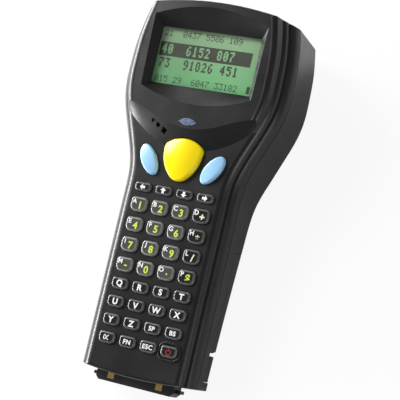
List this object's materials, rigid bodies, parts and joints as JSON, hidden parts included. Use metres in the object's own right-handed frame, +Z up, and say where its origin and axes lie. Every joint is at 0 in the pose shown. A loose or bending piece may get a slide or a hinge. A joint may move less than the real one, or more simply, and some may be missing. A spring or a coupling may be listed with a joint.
{
  "type": "portable barcode data terminal",
  "caption": "Handheld data terminal with a display head, full keypad, large scan key, scan window in the top end and a swing-out battery pack behind.",
  "frame": {"origin": "middle of the terminal on the table, at the level of the two bars that it lies on", "axes": "+Z up from the table, +Y along the terminal towards the display end, +X across it to the right as the keypad is read"},
  "size_m": [0.0774, 0.1654, 0.0472],
  "materials": {
    "casing_plastic": "fine spark-textured black",
    "seal_rubber": "matte black",
    "clear_window": "clear, polished",
    "lcd_glass": "yellow-green reflective display",
    "lcd_frame": "white moulded light guide",
    "light_lens": "smoky translucent lens",
    "keypad_rubber": "satin grey silicone",
    "board_laminate": "green solder mask",
    "chip_plastic": "moulded black",
    "engine_metal": "cast, black-grey",
    "bracket_steel": "folded sheet",
    "red_window": "dark red, polished",
    "contact_gold": "gold plated",
    "block_plastic": "plain black",
    "screw_steel": "black zinc",
    "cell_wrap": "shrink wrap",
    "letter_key_black": "glossy black with printed legends",
    "number_key_grey": "glossy charcoal with printed figures",
    "scan_key_yellow": "glossy yellow",
    "side_key_blue": "satin pale blue"
  },
  "bodies": {
    "casing": {"front_shell": "casing_plastic", "rear_shell": "casing_plastic", "casing_seal": "seal_rubber", "display_window": "clear_window", "lcd_panel": "lcd_glass", "lcd_backlight": "lcd_frame", "status_light": "light_lens", "keypad_sheet": "keypad_rubber", "main_board": "board_laminate", "board_chips": "chip_plastic", "sounder": "chip_plastic", "scan_engine": "engine_metal", "scan_bracket": "bracket_steel", "scan_window": "red_window", "battery_contacts": "contact_gold", "contact_block": "block_plastic", "charging_contacts": "contact_gold", "casing_screws": "screw_steel"},
    "battery": {"battery_cover": "casing_plastic", "battery_cell": "cell_wrap"},
    "latch": {"battery_latch": "block_plastic"},
    "key_left_body": {"key_left": "letter_key_black"},
    "key_up_body": {"key_up": "letter_key_black"},
    "key_down_body": {"key_down": "letter_key_black"},
    "key_right_body": {"key_right": "letter_key_black"},
    "key_1_body": {"key_1": "number_key_grey"},
    "key_2_body": {"key_2": "number_key_grey"},
    "key_3_body": {"key_3": "number_key_grey"},
    "key_plus_body": {"key_plus": "letter_key_black"},
    "key_4_body": {"key_4": "number_key_grey"},
    "key_5_body": {"key_5": "number_key_grey"},
    "key_6_body": {"key_6": "number_key_grey"},
    "key_times_body": {"key_times": "letter_key_black"},
    "key_7_body": {"key_7": "number_key_grey"},
    "key_8_body": {"key_8": "number_key_grey"},
    "key_9_body": {"key_9": "number_key_grey"},
    "key_divide_body": {"key_divide": "letter_key_black"},
    "key_minus_body": {"key_minus": "number_key_grey"},
    "key_0_body": {"key_0": "number_key_grey"},
    "key_point_body": {"key_point": "number_key_grey"},
    "key_dollar_body": {"key_dollar": "letter_key_black"},
    "key_q_body": {"key_q": "letter_key_black"},
    "key_r_body": {"key_r": "letter_key_black"},
    "key_s_body": {"key_s": "letter_key_black"},
    "key_t_body": {"key_t": "letter_key_black"},
    "key_u_body": {"key_u": "letter_key_black"},
    "key_v_body": {"key_v": "letter_key_black"},
    "key_w_body": {"key_w": "letter_key_black"},
    "key_x_body": {"key_x": "letter_key_black"},
    "key_y_body": {"key_y": "letter_key_black"},
    "key_z_body": {"key_z": "letter_key_black"},
    "key_space_body": {"key_space": "letter_key_black"},
    "key_backspace_body": {"key_backspace": "letter_key_black"},
    "key_alpha_body": {"key_alpha": "letter_key_black"},
    "key_function_body": {"key_function": "letter_key_black"},
    "key_escape_body": {"key_escape": "letter_key_black"},
    "key_power_body": {"key_power": "letter_key_black"},
    "scan_key_body": {"scan_key": "scan_key_yellow"},
    "side_key_left_body": {"side_key_left": "side_key_blue"},
    "side_key_right_body": {"side_key_right": "side_key_blue"}
  },
  "joints": [
    {"name": "swing_battery", "type": "hinge", "parent": "casing", "child": "battery", "pos_m": [0, -0.01713, 0.00483], "axis": [1, 0, 0], "range_deg": [0, 30]},
    {"name": "slide_latch", "type": "slide", "parent": "casing", "child": "latch", "axis": [0, 0.9918, 0.1276], "range_m": [0, 0.0022]},
    {"name": "press_key_left", "type": "slide", "parent": "casing", "child": "key_left_body", "axis": [0, 0.1276, -0.9918], "range_m": [0, 0.0008], "stiffness_N_per_m": 150, "springref_m": -0.0004},
    {"name": "press_key_up", "type": "slide", "parent": "casing", "child": "key_up_body", "axis": [0, 0.1276, -0.9918], "range_m": [0, 0.0008], "stiffness_N_per_m": 150, "springref_m": -0.0004},
    {"name": "press_key_down", "type": "slide", "parent": "casing", "child": "key_down_body", "axis": [0, 0.1276, -0.9918], "range_m": [0, 0.0008], "stiffness_N_per_m": 150, "springref_m": -0.0004},
    {"name": "press_key_right", "type": "slide", "parent": "casing", "child": "key_right_body", "axis": [0, 0.1276, -0.9918], "range_m": [0, 0.0008], "stiffness_N_per_m": 150, "springref_m": -0.0004},
    {"name": "press_key_1", "type": "slide", "parent": "casing", "child": "key_1_body", "axis": [0, 0.1276, -0.9918], "range_m": [0, 0.0008], "stiffness_N_per_m": 150, "springref_m": -0.0004},
    {"name": "press_key_2", "type": "slide", "parent": "casing", "child": "key_2_body", "axis": [0, 0.1276, -0.9918], "range_m": [0, 0.0008], "stiffness_N_per_m": 150, "springref_m": -0.0004},
    {"name": "press_key_3", "type": "slide", "parent": "casing", "child": "key_3_body", "axis": [0, 0.1276, -0.9918], "range_m": [0, 0.0008], "stiffness_N_per_m": 150, "springref_m": -0.0004},
    {"name": "press_key_plus", "type": "slide", "parent": "casing", "child": "key_plus_body", "axis": [0, 0.1276, -0.9918], "range_m": [0, 0.0008], "stiffness_N_per_m": 150, "springref_m": -0.0004},
    {"name": "press_key_4", "type": "slide", "parent": "casing", "child": "key_4_body", "axis": [0, 0.1276, -0.9918], "range_m": [0, 0.0008], "stiffness_N_per_m": 150, "springref_m": -0.0004},
    {"name": "press_key_5", "type": "slide", "parent": "casing", "child": "key_5_body", "axis": [0, 0.1276, -0.9918], "range_m": [0, 0.0008], "stiffness_N_per_m": 150, "springref_m": -0.0004},
    {"name": "press_key_6", "type": "slide", "parent": "casing", "child": "key_6_body", "axis": [0, 0.1276, -0.9918], "range_m": [0, 0.0008], "stiffness_N_per_m": 150, "springref_m": -0.0004},
    {"name": "press_key_times", "type": "slide", "parent": "casing", "child": "key_times_body", "axis": [0, 0.1276, -0.9918], "range_m": [0, 0.0008], "stiffness_N_per_m": 150, "springref_m": -0.0004},
    {"name": "press_key_7", "type": "slide", "parent": "casing", "child": "key_7_body", "axis": [0, 0.1276, -0.9918], "range_m": [0, 0.0008], "stiffness_N_per_m": 150, "springref_m": -0.0004},
    {"name": "press_key_8", "type": "slide", "parent": "casing", "child": "key_8_body", "axis": [0, 0.1276, -0.9918], "range_m": [0, 0.0008], "stiffness_N_per_m": 150, "springref_m": -0.0004},
    {"name": "press_key_9", "type": "slide", "parent": "casing", "child": "key_9_body", "axis": [0, 0.1276, -0.9918], "range_m": [0, 0.0008], "stiffness_N_per_m": 150, "springref_m": -0.0004},
    {"name": "press_key_divide", "type": "slide", "parent": "casing", "child": "key_divide_body", "axis": [0, 0.1276, -0.9918], "range_m": [0, 0.0008], "stiffness_N_per_m": 150, "springref_m": -0.0004},
    {"name": "press_key_minus", "type": "slide", "parent": "casing", "child": "key_minus_body", "axis": [0, 0.1276, -0.9918], "range_m": [0, 0.0008], "stiffness_N_per_m": 150, "springref_m": -0.0004},
    {"name": "press_key_0", "type": "slide", "parent": "casing", "child": "key_0_body", "axis": [0, 0.1276, -0.9918], "range_m": [0, 0.0008], "stiffness_N_per_m": 150, "springref_m": -0.0004},
    {"name": "press_key_point", "type": "slide", "parent": "casing", "child": "key_point_body", "axis": [0, 0.1276, -0.9918], "range_m": [0, 0.0008], "stiffness_N_per_m": 150, "springref_m": -0.0004},
    {"name": "press_key_dollar", "type": "slide", "parent": "casing", "child": "key_dollar_body", "axis": [0, 0.1276, -0.9918], "range_m": [0, 0.0008], "stiffness_N_per_m": 150, "springref_m": -0.0004},
    {"name": "press_key_q", "type": "slide", "parent": "casing", "child": "key_q_body", "axis": [0, 0.1276, -0.9918], "range_m": [0, 0.0008], "stiffness_N_per_m": 150, "springref_m": -0.0004},
    {"name": "press_key_r", "type": "slide", "parent": "casing", "child": "key_r_body", "axis": [0, 0.1276, -0.9918], "range_m": [0, 0.0008], "stiffness_N_per_m": 150, "springref_m": -0.0004},
    {"name": "press_key_s", "type": "slide", "parent": "casing", "child": "key_s_body", "axis": [0, 0.1276, -0.9918], "range_m": [0, 0.0008], "stiffness_N_per_m": 150, "springref_m": -0.0004},
    {"name": "press_key_t", "type": "slide", "parent": "casing", "child": "key_t_body", "axis": [0, 0.1276, -0.9918], "range_m": [0, 0.0008], "stiffness_N_per_m": 150, "springref_m": -0.0004},
    {"name": "press_key_u", "type": "slide", "parent": "casing", "child": "key_u_body", "axis": [0, 0.1276, -0.9918], "range_m": [0, 0.0008], "stiffness_N_per_m": 150, "springref_m": -0.0004},
    {"name": "press_key_v", "type": "slide", "parent": "casing", "child": "key_v_body", "axis": [0, 0.1276, -0.9918], "range_m": [0, 0.0008], "stiffness_N_per_m": 150, "springref_m": -0.0004},
    {"name": "press_key_w", "type": "slide", "parent": "casing", "child": "key_w_body", "axis": [0, 0.1276, -0.9918], "range_m": [0, 0.0008], "stiffness_N_per_m": 150, "springref_m": -0.0004},
    {"name": "press_key_x", "type": "slide", "parent": "casing", "child": "key_x_body", "axis": [0, 0.1276, -0.9918], "range_m": [0, 0.0008], "stiffness_N_per_m": 150, "springref_m": -0.0004},
    {"name": "press_key_y", "type": "slide", "parent": "casing", "child": "key_y_body", "axis": [0, 0.1276, -0.9918], "range_m": [0, 0.0008], "stiffness_N_per_m": 150, "springref_m": -0.0004},
    {"name": "press_key_z", "type": "slide", "parent": "casing", "child": "key_z_body", "axis": [0, 0.1276, -0.9918], "range_m": [0, 0.0008], "stiffness_N_per_m": 150, "springref_m": -0.0004},
    {"name": "press_key_space", "type": "slide", "parent": "casing", "child": "key_space_body", "axis": [0, 0.1276, -0.9918], "range_m": [0, 0.0008], "stiffness_N_per_m": 150, "springref_m": -0.0004},
    {"name": "press_key_backspace", "type": "slide", "parent": "casing", "child": "key_backspace_body", "axis": [0, 0.1276, -0.9918], "range_m": [0, 0.0008], "stiffness_N_per_m": 150, "springref_m": -0.0004},
    {"name": "press_key_alpha", "type": "slide", "parent": "casing", "child": "key_alpha_body", "axis": [0, 0.1276, -0.9918], "range_m": [0, 0.0008], "stiffness_N_per_m": 150, "springref_m": -0.0004},
    {"name": "press_key_function", "type": "slide", "parent": "casing", "child": "key_function_body", "axis": [0, 0.1276, -0.9918], "range_m": [0, 0.0008], "stiffness_N_per_m": 150, "springref_m": -0.0004},
    {"name": "press_key_escape", "type": "slide", "parent": "casing", "child": "key_escape_body", "axis": [0, 0.1276, -0.9918], "range_m": [0, 0.0008], "stiffness_N_per_m": 150, "springref_m": -0.0004},
    {"name": "press_key_power", "type": "slide", "parent": "casing", "child": "key_power_body", "axis": [0, 0.1276, -0.9918], "range_m": [0, 0.0008], "stiffness_N_per_m": 150, "springref_m": -0.0004},
    {"name": "press_scan_key", "type": "slide", "parent": "casing", "child": "scan_key_body", "axis": [0, 0.1276, -0.9918], "range_m": [0, 0.001], "stiffness_N_per_m": 250, "springref_m": -0.0004},
    {"name": "press_side_key_left", "type": "slide", "parent": "casing", "child": "side_key_left_body", "axis": [0, 0.1276, -0.9918], "range_m": [0, 0.0008], "stiffness_N_per_m": 250, "springref_m": -0.0004},
    {"name": "press_side_key_right", "type": "slide", "parent": "casing", "child": "side_key_right_body", "axis": [0, 0.1276, -0.9918], "range_m": [0, 0.0008], "stiffness_N_per_m": 250, "springref_m": -0.0004}
  ]
}
